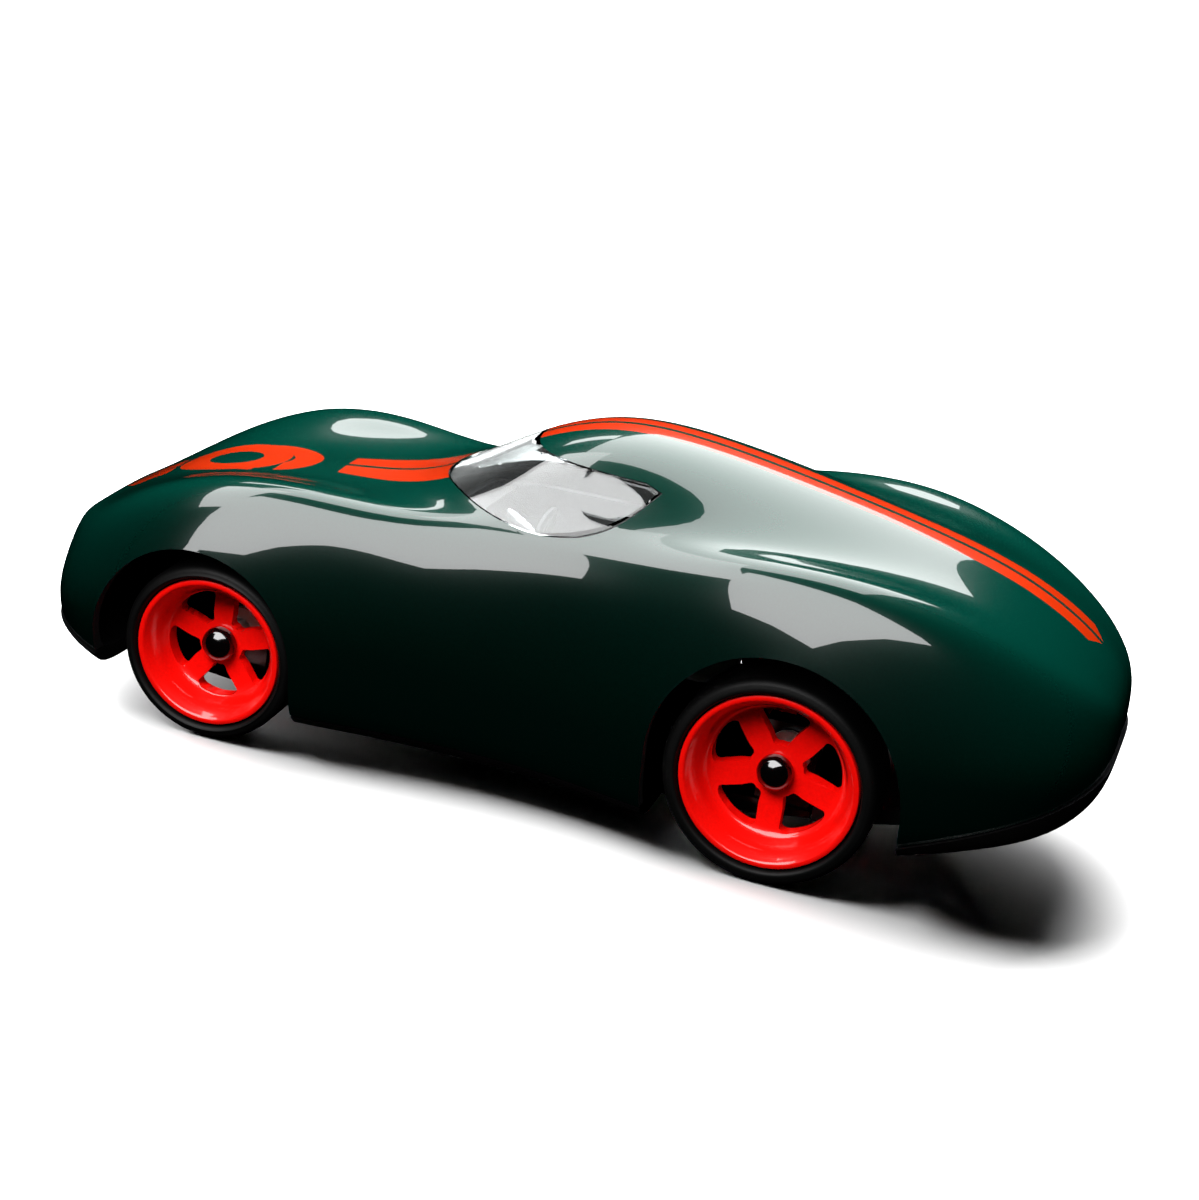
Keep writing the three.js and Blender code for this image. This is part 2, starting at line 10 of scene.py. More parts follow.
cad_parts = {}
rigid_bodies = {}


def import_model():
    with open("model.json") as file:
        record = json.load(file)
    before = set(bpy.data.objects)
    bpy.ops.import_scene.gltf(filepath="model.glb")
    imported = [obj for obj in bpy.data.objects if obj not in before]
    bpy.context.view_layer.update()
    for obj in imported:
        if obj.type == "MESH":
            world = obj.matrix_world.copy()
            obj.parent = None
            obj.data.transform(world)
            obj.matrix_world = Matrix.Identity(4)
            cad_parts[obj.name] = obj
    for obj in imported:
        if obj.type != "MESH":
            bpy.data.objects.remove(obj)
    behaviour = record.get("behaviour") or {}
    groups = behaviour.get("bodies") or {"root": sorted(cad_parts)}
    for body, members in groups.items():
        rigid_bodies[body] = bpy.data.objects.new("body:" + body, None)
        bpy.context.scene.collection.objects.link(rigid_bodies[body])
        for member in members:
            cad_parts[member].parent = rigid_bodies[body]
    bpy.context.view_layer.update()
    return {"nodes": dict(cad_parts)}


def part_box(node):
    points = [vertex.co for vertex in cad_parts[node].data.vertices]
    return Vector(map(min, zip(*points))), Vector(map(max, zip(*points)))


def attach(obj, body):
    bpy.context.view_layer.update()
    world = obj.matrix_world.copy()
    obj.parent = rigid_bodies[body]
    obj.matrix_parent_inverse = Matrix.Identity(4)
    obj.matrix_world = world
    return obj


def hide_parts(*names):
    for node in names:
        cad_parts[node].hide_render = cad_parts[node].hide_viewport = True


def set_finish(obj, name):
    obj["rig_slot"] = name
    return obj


bl_info = {
    "name": "Die-cast racing coupe",
    "version": (1, 0, 0),
    "blender": (4, 5, 0),
    "location": "3D View > Sidebar > Coupe",
    "description": "Builds the visible pieces of a die-cast collector car",
    "category": "Add Mesh",
}

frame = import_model()

MM = 0.001
GREEN = (0.0, 0.036, 0.024, 1)
ORANGE = (0.62, 0.03, 0.002, 1)
RED = (0.6, 0.002, 0.001, 1)
BLACK = (0.006, 0.006, 0.007, 1)

# ---- the body's surface ------------------------------------------------------------------

# Each row is one cross-section, tail to nose. x is a share of the half length, the y values are
# shares of the half width and the z values are shares of the height:
# x, half width, underside, widest height, fender y and z, valley y and z, roof side y and z, spine.
SECTIONS = [
    (-1.000, 0.44, 0.350, 0.483, 0.33, 0.567, 0.22, 0.583, 0.11, 0.592, 0.600),
    (-0.921, 0.79, 0.275, 0.483, 0.58, 0.680, 0.39, 0.687, 0.19, 0.708, 0.725),
    (-0.787, 0.93, 0.215, 0.500, 0.71, 0.800, 0.49, 0.785, 0.25, 0.808, 0.833),
    (-0.629, 1.01, 0.150, 0.500, 0.80, 0.895, 0.55, 0.830, 0.27, 0.858, 0.900),
    (-0.472, 1.01, 0.100, 0.500, 0.82, 0.925, 0.58, 0.830, 0.30, 0.895, 0.950),
    (-0.315, 0.93, 0.070, 0.483, 0.79, 0.875, 0.58, 0.830, 0.33, 0.935, 0.990),
    (-0.157, 0.82, 0.066, 0.467, 0.71, 0.790, 0.53, 0.820, 0.33, 0.975, 1.018),
    (0.000, 0.75, 0.066, 0.450, 0.66, 0.750, 0.49, 0.800, 0.34, 0.975, 1.020),
    (0.157, 0.75, 0.066, 0.433, 0.64, 0.733, 0.46, 0.767, 0.33, 0.883, 0.920),
    (0.315, 0.79, 0.068, 0.433, 0.66, 0.735, 0.46, 0.725, 0.25, 0.728, 0.735),
    (0.472, 0.89, 0.072, 0.450, 0.71, 0.788, 0.46, 0.720, 0.22, 0.693, 0.708),
    (0.652, 0.96, 0.096, 0.433, 0.77, 0.762, 0.49, 0.718, 0.22, 0.660, 0.672),
    (0.820, 0.92, 0.118, 0.367, 0.74, 0.616, 0.49, 0.626, 0.22, 0.613, 0.618),
    (0.944, 0.73, 0.167, 0.317, 0.56, 0.445, 0.41, 0.480, 0.19, 0.485, 0.488),
    (1.000, 0.41, 0.225, 0.333, 0.30, 0.430, 0.22, 0.450, 0.11, 0.450, 0.450),
]
TAIL_TIP = 0.475  # height of the rearmost point, as a share of the height
NOSE_TIP = 0.342
CONTROL_WIDTH = 73 * MM  # the control points stand outside the surface that they pull
CONTROL_HEIGHT = 60 * MM
STEPS = 8  # facets between two control points

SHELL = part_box("body_shell")
HALF = Vector((SHELL[1].x, CONTROL_WIDTH / 2, CONTROL_HEIGHT))


def control_ring(row):
    """Sixteen control points of one cross-section, from the underside up the left side."""
    x, w, zb, zw, yc, zc, yv, zv, yr, zr, zt = row
    left = [(0, zb), (0.55 * w, zb), (0.92 * w, zb + 0.008), (w, (zb + zw) / 2), (w, zw)]
    left += [(yc, zc), (yv, zv), (yr, zr), (0, zt)]
    right = [(-y, z) for y, z in reversed(left[1:-1])]
    return [Vector((x * HALF.x, y * HALF.y, z * HALF.z)) for y, z in left + right]


def control_net():
    """The control points, closed on the tips of the tail and the nose by reflection."""
    rings = [control_ring(row) for row in SECTIONS]

    def tip(ring, height):
        return [Vector((p.x, 0, height * HALF.z)) for p in ring]

    def past(ring, tips):
        return [Vector((p.x, -p.y, 2 * t.z - p.z)) for p, t in zip(ring, tips)]

    tail, nose = tip(rings[0], TAIL_TIP), tip(rings[-1], NOSE_TIP)
    return [past(rings[0], tail), tail, *rings, nose, past(rings[-1], nose)]


NET = control_net()


def weights(t):
    """Weights of a uniform cubic B-spline, and of its derivative."""
    point = ((1 - t) ** 3, 3 * t**3 - 6 * t**2 + 4, -3 * t**3 + 3 * t**2 + 3 * t + 1, t**3)
    slope = (-((1 - t) ** 2), 3 * t**2 - 4 * t, -3 * t**2 + 2 * t + 1, t**2)
    return [w / 6 for w in point], [w / 2 for w in slope]


def surface_point(along, around, depth):
    """A point of the body's surface, moved inwards along its normal."""
    i, j = min(int(along), len(NET) - 4), int(around)
    wu, du = weights(along - i)
    wv, dv = weights(around - j)
    point, tangent_u, tangent_v = Vector(), Vector(), Vector()
    for a in range(4):
        ring = NET[i + a]
        for b in range(4):
            control = ring[(j + b) % len(ring)]
            point += control * wu[a] * wv[b]
            tangent_u += control * du[a] * wv[b]
            tangent_v += control * wu[a] * dv[b]
    inwards = tangent_u.cross(tangent_v)
    if inwards.length < 1e-9:
        inwards = Vector((1 if i < 1 else -1, 0, 0))
    return point + inwards.normalized() * depth


# ---- mesh helpers ------------------------------------------------------------------------


def to_object(bm, name, smooth=True, sharp=math.radians(32)):
    """Turns a bmesh into a linked object with outward faces and clean shading."""
    bmesh.ops.recalc_face_normals(bm, faces=bm.faces)
    mesh = bpy.data.meshes.new(name)
    bm.to_mesh(mesh)
    bm.free()
    piece = bpy.data.objects.new(name, mesh)
    bpy.context.scene.collection.objects.link(piece)
    if smooth:
        shade(piece, sharp)
    return piece


def shade(piece, sharp=math.radians(32)):
    """Smooth shading with creases kept."""
    piece.data.polygons.foreach_set("use_smooth", [True] * len(piece.data.polygons))
    piece.data.set_sharp_from_angle(angle=sharp)


def apply_modifiers(piece):
    """Bakes a piece's modifiers into its mesh."""
    graph = bpy.context.evaluated_depsgraph_get()
    mesh = bpy.data.meshes.new_from_object(piece.evaluated_get(graph))
    old = piece.data
    piece.modifiers.clear()
    piece.data = mesh
    mesh.name = piece.name
    bpy.data.meshes.remove(old)


def boolean(piece, operation, *tools):
    """Cuts, joins or intersects with each tool, and removes the tools."""
    for tool in tools:
        change = piece.modifiers.new("cut", "BOOLEAN")
        change.operation = operation
        change.solver = "EXACT"
        change.material_mode = "TRANSFER"
        change.object = tool
        apply_modifiers(piece)
        bpy.data.objects.remove(tool)
    return piece


def bevel(piece, width, segments=3, angle=math.radians(32)):
    """Rounds the creases."""
    rounded = piece.modifiers.new("bevel", "BEVEL")
    rounded.width = width
    rounded.segments = segments
    rounded.limit_method = "ANGLE"
    rounded.angle_limit = angle
    rounded.use_clamp_overlap = True
    rounded.harden_normals = False
    apply_modifiers(piece)
    return piece


def body_solid(depth, name="solid", steps=STEPS):
    """The closed solid inside the body's surface, at a depth below it."""
    bm = bmesh.new()
    count = len(NET[0]) * steps
    spans = (len(NET) - 3) * steps
    rings = []
    for k in range(1, spans):
        made = bmesh.ops.create_circle(bm, segments=count, radius=1)
        for n, vert in enumerate(made["verts"]):
            vert.co = surface_point(k / steps, n / steps, depth)
        rings.append(list({e for v in made["verts"] for e in v.link_edges}))
    for a, b in zip(rings, rings[1:]):
        bmesh.ops.bridge_loops(bm, edges=a + b)
    for ring, along in ((rings[0], 0), (rings[-1], spans / steps)):
        top = bmesh.ops.extrude_edge_only(bm, edges=ring)
        verts = [g for g in top["geom"] if isinstance(g, bmesh.types.BMVert)]
        bmesh.ops.pointmerge(bm, verts=verts, merge_co=surface_point(along, 0, depth))
    return to_object(bm, name)


def plate(outline, y0, y1, name="plate"):
    """A side-view outline in X and Z, drawn out along Y."""
    bm = bmesh.new()
    verts = [bm.verts.new((x, y0, z)) for x, z in outline]
    face = bm.faces.new(verts)
    made = bmesh.ops.extrude_face_region(bm, geom=[face])
    moved = [g for g in made["geom"] if isinstance(g, bmesh.types.BMVert)]
    bmesh.ops.translate(bm, vec=(0, y1 - y0, 0), verts=moved)
    return to_object(bm, name, smooth=False)


def upright(outline, z0, z1, name="prism"):
    """A plan outline in X and Y, drawn out along Z."""
    bm = bmesh.new()
    face = bm.faces.new([bm.verts.new((x, y, z0)) for x, y in outline])
    made = bmesh.ops.extrude_face_region(bm, geom=[face])
    moved = [g for g in made["geom"] if isinstance(g, bmesh.types.BMVert)]
    bmesh.ops.translate(bm, vec=(0, 0, z1 - z0), verts=moved)
    return to_object(bm, name, smooth=False)


def turned(profile, centre, side, name, steps=96, sharp=math.radians(32)):
    """A profile of radius and outward offset, spun about the car's Y axis through a centre."""
    bm = bmesh.new()
    verts = [bm.verts.new((r, y, 0)) for r, y in profile]
    edges = [bm.edges.new(pair) for pair in zip(verts, verts[1:])]
    bmesh.ops.spin(
        bm, geom=verts + edges, cent=(0, 0, 0), axis=(0, 1, 0), dvec=(0, 0, 0),
        angle=2 * math.pi, steps=steps, use_merge=True,
    )
    bmesh.ops.remove_doubles(bm, verts=bm.verts, dist=1e-6)
    place = Matrix.Translation(centre) @ Matrix.Diagonal((1, side, 1, 1))
    bmesh.ops.transform(bm, matrix=place, verts=bm.verts)
    return to_object(bm, name, sharp=sharp)


def spline(points, steps):
    """Points along a Catmull-Rom curve."""
    ends = [points[0], *points, points[-1]]
    out = []
    for a, b, c, d in zip(ends, ends[1:], ends[2:], ends[3:]):
        for k in range(steps):
            t = k / steps
            out.append(tuple(
                0.5 * (2 * q + (r - p) * t + (2 * p - 5 * q + 4 * r - s) * t * t
                       + (3 * q - p - 3 * r + s) * t**3)
                for p, q, r, s in zip(a, b, c, d)
            ))
    return [*out, points[-1]]


# ---- where things are --------------------------------------------------------------------

WALL = 2.0 * MM
GAP = 0.3 * MM
REACH = 0.2
SPLIT = 7.8 * MM


class Wheel:
    """Sizes of one pair of wheels, read from the frame."""

    def __init__(self, end, clearance, shift, turn):
        tyre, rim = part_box(f"{end}_tyre_left"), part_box(f"{end}_rim_left")
        self.end = end
        self.turn = turn
        self.x = (tyre[0].x + tyre[1].x) / 2
        self.radius = (tyre[1].z - tyre[0].z) / 2
        self.z = (tyre[1].z + tyre[0].z) / 2
        self.rim = (rim[1].z - rim[0].z) / 2
        self.face = rim[1].y
        self.outside = tyre[1].y - rim[1].y
        self.width = tyre[1].y - tyre[0].y
        self.arch = self.radius + clearance
        self.arch_x, self.arch_z = self.x + shift[0], self.z + shift[1]
        self.well = tyre[0].y - 2.5 * MM


FRONT = Wheel("front", 2.5 * MM, (1.7 * MM, 0.8 * MM), -math.pi / 2)
REAR = Wheel("rear", 3.6 * MM, (-1.2 * MM, 1.7 * MM), math.pi / 2)
WHEELS = (FRONT, REAR)


def wells():
    """The wheel openings, cut in from each side."""
    tools = []
    for wheel in WHEELS:
        radius = wheel.arch
        arc = [
            (wheel.arch_x + radius * math.cos(a), wheel.arch_z + radius * math.sin(a))
            for a in (math.pi * k / 64 for k in range(65))
        ]
        outline = [*arc, (wheel.arch_x - radius, -0.01), (wheel.arch_x + radius, -0.01)]
        tools += [plate(outline, wheel.well, REACH), plate(outline, -REACH, -wheel.well)]
    return tools


TAIL_JOINT = 25.5 * MM  # height of the joint between body and black parts at the tail
NOSE_JOINT = 13.5 * MM


def under_body(drop):
    """Everything under the joint between the painted body and the black parts."""
    front, rear, half = FRONT.x, REAR.x, HALF.x
    line = [
        (-REACH, TAIL_JOINT + 0.47 * (REACH - half)), (-half, TAIL_JOINT),
        (rear - 16 * MM, SPLIT + 4 * MM), (rear + 8 * MM, SPLIT + 2 * MM), (rear + 16 * MM, SPLIT),
        (front - 17 * MM, SPLIT), (front - 9 * MM, SPLIT + 2 * MM),
        (front + 17 * MM, SPLIT + 3 * MM), (half, NOSE_JOINT), (REACH, NOSE_JOINT),
    ]
    outline = [(x, z - drop) for x, z in line] + [(REACH, -0.01), (-REACH, -0.01)]
    return plate(outline, -REACH, REACH)


WINDOW_LOWER = ((-13.5, 54.4), (-9, 49.8), (-4.5, 47.2), (2, 45.2), (9, 44.0), (17, 43.4), (26.5, 43.3))


def window_tools(inset):
    """The side and plan outlines that together cut out the glazing."""
    tip, *rest = WINDOW_LOWER
    lower = [((tip[0] + 2 * inset) * MM, (tip[1] - inset) * MM)]
    lower += [(x * MM, (z + inset) * MM) for x, z in rest]
    outline = spline(lower, 8)
    roof = (55.2 - inset) * MM
    outline += [(26.5 * MM, roof), (-10.5 * MM, roof)]
    side = plate(outline, -REACH, REACH)
    width, sweep = (21.5 - inset) * MM, (26 - inset) * MM
    plan = [
        (sweep * math.cos(a), width * math.sin(a))
        for a in (math.pi * (k / 64 - 0.5) for k in range(65))
    ]
    return side, upright([*plan, (-REACH, width), (-REACH, -width)], 0, 0.08)


# ---- shader writing ----------------------------------------------------------------------


class Value:
    """A number socket that writes its own Math nodes."""

    def __init__(self, shader, socket):
        self.shader = shader
        self.socket = socket

    def math(self, operation, *others, clamp=False):
        values = [self.socket, *(o.socket if isinstance(o, Value) else o for o in others)]
        node = self.shader.node(
            "ShaderNodeMath", {"operation": operation, "use_clamp": clamp}, dict(enumerate(values))
        )
        return Value(self.shader, node.outputs[0])

    def __add__(self, other):
        return self.math("ADD", other)

    def __radd__(self, other):
        return self.math("ADD", other)

    def __sub__(self, other):
        return self.math("SUBTRACT", other)

    def __rsub__(self, other):
        return self.math("MULTIPLY", -1.0).math("ADD", other)

    def __mul__(self, other):
        return self.math("MULTIPLY", other)

    def __rmul__(self, other):
        return self.math("MULTIPLY", other)

    def __truediv__(self, other):
        return self.math("DIVIDE", other)

    def __abs__(self):
        return self.math("ABSOLUTE")

    def below(self, edge, soft):
        """1 where the value is under the edge, with a soft step."""
        return (edge - self).math("DIVIDE", soft).math("ADD", 0.5, clamp=True)

    def above(self, edge, soft):
        return (self - edge).math("DIVIDE", soft).math("ADD", 0.5, clamp=True)


class Shader:
    """A node material built with a few calls."""

    def __init__(self, name, **constants):
        self.material = bpy.data.materials.new(name)
        self.material.use_nodes = True
        self.tree = self.material.node_tree
        self.bsdf = self.tree.nodes["Principled BSDF"]
        for key, value in constants.items():
            self.bsdf.inputs[key.replace("_", " ")].default_value = value
        place = self.node("ShaderNodeTexCoord").outputs["Object"]
        self.place = place
        self.x, self.y, self.z = self.split(place)

    def node(self, kind, settings=None, inputs=None):
        node = self.tree.nodes.new(kind)
        for key, value in (settings or {}).items():
            setattr(node, key, value)
        for key, value in (inputs or {}).items():
            if isinstance(value, Value):
                value = value.socket
            if isinstance(value, bpy.types.NodeSocket):
                self.tree.links.new(value, node.inputs[key])
            else:
                node.inputs[key].default_value = value
        return node

    def split(self, vector):
        parts = self.node("ShaderNodeSeparateXYZ", {}, {0: vector}).outputs
        return [Value(self, p) for p in parts]

    def noise(self, scale, detail=3.0, roughness=0.5):
        node = self.node(
            "ShaderNodeTexNoise", {},
            {"Vector": self.place, "Scale": scale, "Detail": detail, "Roughness": roughness},
        )
        return Value(self, node.outputs["Fac"])

    def mix(self, factor, a, b):
        """Colour a where the factor is 0, b where it is 1."""
        node = self.node("ShaderNodeMix", {"data_type": "RGBA"}, {"Factor": factor, 6: a, 7: b})
        return node.outputs[2]

    def set(self, name, value):
        socket = value.socket if isinstance(value, Value) else value
        self.tree.links.new(socket, self.bsdf.inputs[name])

    def bump(self, height, strength, distance):
        node = self.node(
            "ShaderNodeBump", {}, {"Height": height, "Strength": strength, "Distance": distance}
        )
        self.tree.links.new(node.outputs[0], self.bsdf.inputs["Normal"])


def plain(name, colour, variation, roughness, spread, grain, depth, **constants):
    """A moulded or machined surface: colour mottling, uneven gloss and a fine grain."""
    shader = Shader(name, **constants)
    cloud, fine = shader.noise(90.0, 4.0), shader.noise(grain, 3.0)
    lighter = tuple(min(1, c * (1 + variation) + 0.004 * variation) for c in colour[:3]) + (1,)
    shader.set("Base Color", shader.mix(cloud, colour, lighter))
    shader.set("Roughness", cloud * spread + (roughness - spread / 2))
    shader.bump(fine, depth, 0.0001)
    return shader.material


def scaled(colour, share):
    """A lighter or darker shade of a colour."""
    return tuple(c * share for c in colour[:3]) + (1,)


def paint(settings):
    """Green gloss with the two stripes and a generic race number."""
    shader = Shader("green_paint", Coat_Weight=1.0, Coat_Roughness=0.02, Specular_IOR_Level=0.1)
    x, y, z = shader.x * 1000, shader.y * 1000, shader.z * 1000
    soft = 0.12
    side = abs(y)
    top = z.above(36.0, 0.5)

    def bars(half, gap):
        return side.below(half, soft) * side.above(gap, soft)

    # Rear pair: from the front edge of the roof to the tail, narrowing to a rounded end.
    half = (x + 83.5).math("MULTIPLY", 1.6).math("MINIMUM", 3.7).math("MAXIMUM", 0.0)
    roof = bars(half, 0.5) * x.below(14.0, soft) * x.above(-83.2, soft) * top
    # Bonnet pair: spreading towards the screen.
    spread = (45.0 - x) * 0.2 + 4.3
    bonnet = bars(spread, 0.5) * x.below(45.0, soft) * x.above(18.0, soft) * top
    # Nose pair.
    nose_half = (85.5 - x).math("MULTIPLY", 1.2).math("MINIMUM", 4.6).math("MAXIMUM", 0.0)
    nose = bars(nose_half, 0.45) * x.above(75.9, soft) * z.above(22.0, 0.5)
    # The number: a ring for the bowl, and an arc for the hook.
    def ring(cx, cy, rx, ry, stroke):
        dx, dy = (x - cx) / rx, (y - cy) / ry
        far = (dx * dx + dy * dy).math("SQRT")
        return abs(far - 1.0).below(stroke / (rx + ry), 2 * soft / (rx + ry))

    bowl = ring(65.3, -0.3, 7.2, 5.9, 4.6)
    hook = ring(61.0, -0.3, 8.6, 5.9, 4.2) * x.below(62.0, soft)
    tail_off = 1.0 - y.above(2.0, soft) * x.above(55.8, soft) * x.below(59.4, soft) * (
        1.0 - bowl)
    number = (bowl.math("MAXIMUM", hook * tail_off)) * z.above(28.0, 0.5)
    mask = roof.math("MAXIMUM", bonnet).math("MAXIMUM", nose).math("MAXIMUM", number)
    flake, cloud = shader.noise(2600.0, 2.0), shader.noise(60.0, 4.0)
    deep = shader.mix(flake, tuple(settings.green), scaled(settings.green, 1.25))
    flat = shader.mix(cloud, tuple(settings.orange), scaled(settings.orange, 0.93))
    shader.set("Base Color", shader.mix(mask, deep, flat))
    shader.set("Roughness", cloud * 0.06 + mask * 0.1 + 0.2)
    shader.bump(shader.noise(420.0, 2.0), 0.005, 0.0001)
    return shader.material


def glass():
    """Clear moulded plastic with a faint smoke tint."""
    shader = Shader("smoked_clear", IOR=1.49, Transmission_Weight=1.0)
    haze = shader.noise(140.0, 3.0)
    shader.set("Base Color", shader.mix(haze, (0.62, 0.65, 0.65, 1), (0.7, 0.73, 0.73, 1)))
    shader.set("Roughness", haze * 0.015 + 0.005)
    return shader.material


def rubber(wheel):
    """Black rubber with fine turning lines around the tread and sidewall."""
    shader = Shader(f"{wheel.end}_tyre_rubber", Specular_IOR_Level=0.12)
    dx, dz = shader.x - wheel.x, shader.z - wheel.z
    radius = (dx * dx + dz * dz).math("SQRT")
    line = (radius * 9000.0).math("SINE") * 0.5 + 0.5
    cloud = shader.noise(120.0, 5.0)
    shader.set("Base Color", shader.mix(cloud, (0.003, 0.003, 0.0033, 1), (0.008, 0.008, 0.008, 1)))
    shader.set("Roughness", cloud * 0.2 + 0.42)
    shader.bump(line * 0.3 + shader.noise(1500.0, 3.0), 0.25, 0.00008)
    return shader.material


def red_metal(colour):
    shader = Shader("red_rim", Coat_Weight=0.8, Coat_Roughness=0.04, Specular_IOR_Level=0.15)
    flake, cloud = shader.noise(2400.0, 2.0), shader.noise(70.0, 4.0)
    shader.set("Base Color", shader.mix(flake, colour, scaled(colour, 1.35)))
    shader.set("Roughness", cloud * 0.1 + 0.26)
    shader.bump(shader.noise(500.0, 2.0), 0.03, 0.0001)
    return shader.material


def coat(piece, material):
    """Puts one material on a piece."""
    piece.data.materials.clear()
    piece.data.materials.append(material)
    return piece


def dress(piece, material, slot, body, *nodes):
    """Gives a piece its material, body, slot and the nodes it stands for."""
    if material:
        coat(piece, material)
    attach(piece, body)
    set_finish(piece, slot)
    if nodes:
        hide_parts(*nodes)
    return piece


# ---- pieces ------------------------------------------------------------------------------


def make_shell(settings):
    skin, lining = paint(settings), plain("lining_black", BLACK, 1.0, 0.6, 0.2, 1200.0, 0.2)
    outer = coat(body_solid(0, "body_shell_skin"), skin)
    boolean(outer, "DIFFERENCE", coat(body_solid(WALL), lining), coat(under_body(0), lining))
    window = window_tools(0)
    boolean(window[0], "INTERSECT", window[1])
    boolean(outer, "DIFFERENCE", coat(window[0], lining), *(coat(well, lining) for well in wells()))
    shade(outer)
    return dress(outer, None, "green_paint", "car_body", "body_shell")


PANE_OUTER = 0.05 * MM  # depths of the pane's faces under the body's surface
PANE_INNER = 1.2 * MM
PANE_INSET = 0.25  # mm between the pane's edge and the window's
LIP_PROUD = 0.5 * MM
PAN_FLOOR = 4.5 * MM
BENCH = -0.01  # cutting plates start under the floor
OVER = 0.07  # and end over the car


def make_glazing():
    pane = body_solid(PANE_OUTER, "glazing_pane")
    boolean(pane, "DIFFERENCE", body_solid(PANE_INNER))
    boolean(pane, "INTERSECT", *window_tools(PANE_INSET))
    shade(pane)
    return dress(pane, glass(), "smoked_clear", "car_body", "glazing")


def make_skirts():
    black = plain("black_plastic", BLACK, 1.4, 0.36, 0.16, 1400.0, 0.12)
    for node, name in (("front_lip", "front_lip_skin"), ("rear_valance", "rear_valance_skin")):
        lo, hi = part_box(node)
        skirt = body_solid(-LIP_PROUD, name)
        x0, x1 = (lo.x, REACH) if node == "front_lip" else (-REACH, hi.x)
        boolean(skirt, "INTERSECT", under_body(GAP), plate(
            [(x0, BENCH), (x1, BENCH), (x1, OVER), (x0, OVER)], -REACH, REACH))
        boolean(skirt, "DIFFERENCE", body_solid(WALL), *wells())
        shade(skirt)
        dress(skirt, black, "black_plastic", "car_body", node)
    lo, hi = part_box("base_pan")
    pan = body_solid(0, "base_pan_skin")
    boolean(pan, "INTERSECT", under_body(GAP), plate(
        [(lo.x, PAN_FLOOR), (hi.x, PAN_FLOOR), (hi.x, SPLIT), (lo.x, SPLIT)], -REACH, REACH))
    boolean(pan, "DIFFERENCE", *wells())
    shade(pan)
    dress(pan, black, "black_plastic", "car_body")


SPOKES = 5
OPENING_INNER = 0.31  # shares of the rim's radius
OPENING_OUTER = 0.73


def spoke_opening(angle, inner, outer):
    """A rounded opening between two spokes, in the plane of the disc."""
    wide, narrow = 0.44, 0.22
    half = [
        (inner, 0), (inner * 1.03, narrow), (inner + 0.3 * (outer - inner), narrow + 0.09),
        (outer - 0.32 * (outer - inner), wide - 0.04), (outer - 0.1 * (outer - inner), wide - 0.02),
        (outer, wide - 0.16), (outer * 1.01, 0),
    ]
    around = half + [(r, -a) for r, a in reversed(half[:-1])]
    return spline([(r * math.cos(angle + a), r * math.sin(angle + a)) for r, a in around], 5)[:-1]


def make_rim(wheel, side, material):
    name = "left" if side > 0 else "right"
    mm = MM
    rim = wheel.rim
    seat = rim - 1.0 * mm
    bore = seat - 1.1 * mm
    depth = wheel.width - 2 * wheel.outside
    disc, thick = 5.4 * mm, 2.0 * mm
    back = -disc - thick
    hub = 3.8 * mm
    centre = Vector((wheel.x, side * wheel.face, wheel.z))
    barrel = turned([
        (bore, back), (bore, -depth), (seat + 0.6 * mm, -depth), (seat + 0.6 * mm, -depth + 0.8 * mm),
        (seat, -depth + 1.4 * mm), (seat, -1.8 * mm), (rim, -1.2 * mm), (rim, -0.3 * mm),
        (rim - 0.1 * mm, -0.08 * mm), (rim - 0.32 * mm, 0), (rim - 0.75 * mm, 0),
        (rim - 0.98 * mm, -0.1 * mm), (rim - 1.12 * mm, -0.4 * mm), (rim - 1.5 * mm, -0.75 * mm),
        (bore - 0.55 * mm, -disc * 0.55), (bore - 1.0 * mm, -disc + 0.7 * mm),
        (bore - 1.6 * mm, -disc + 0.15 * mm), (bore - 2.6 * mm, -disc),
        (hub, -disc), (0, -disc), (0, back), (bore, back),
    ], centre, side, f"{wheel.end}_rim_{name}_skin", 120, math.radians(40))
    tools = []
    for k in range(SPOKES):
        angle = wheel.turn + k * 2 * math.pi / SPOKES
        outline = spoke_opening(angle, OPENING_INNER * rim, OPENING_OUTER * rim)
        points = [(wheel.x + a, wheel.z + b) for a, b in outline]
        ends = (side * (wheel.face - disc + 1.5 * mm), side * (wheel.face + 2 * back))
        tools.append(plate(points, min(ends), max(ends)))
    boolean(barrel, "DIFFERENCE", *tools)
    bevel(barrel, 0.28 * mm, 3, math.radians(50))
    shade(barrel, math.radians(45))
    dress(barrel, material, "red_rim", f"{wheel.end}_wheels", f"{wheel.end}_rim_{name}")


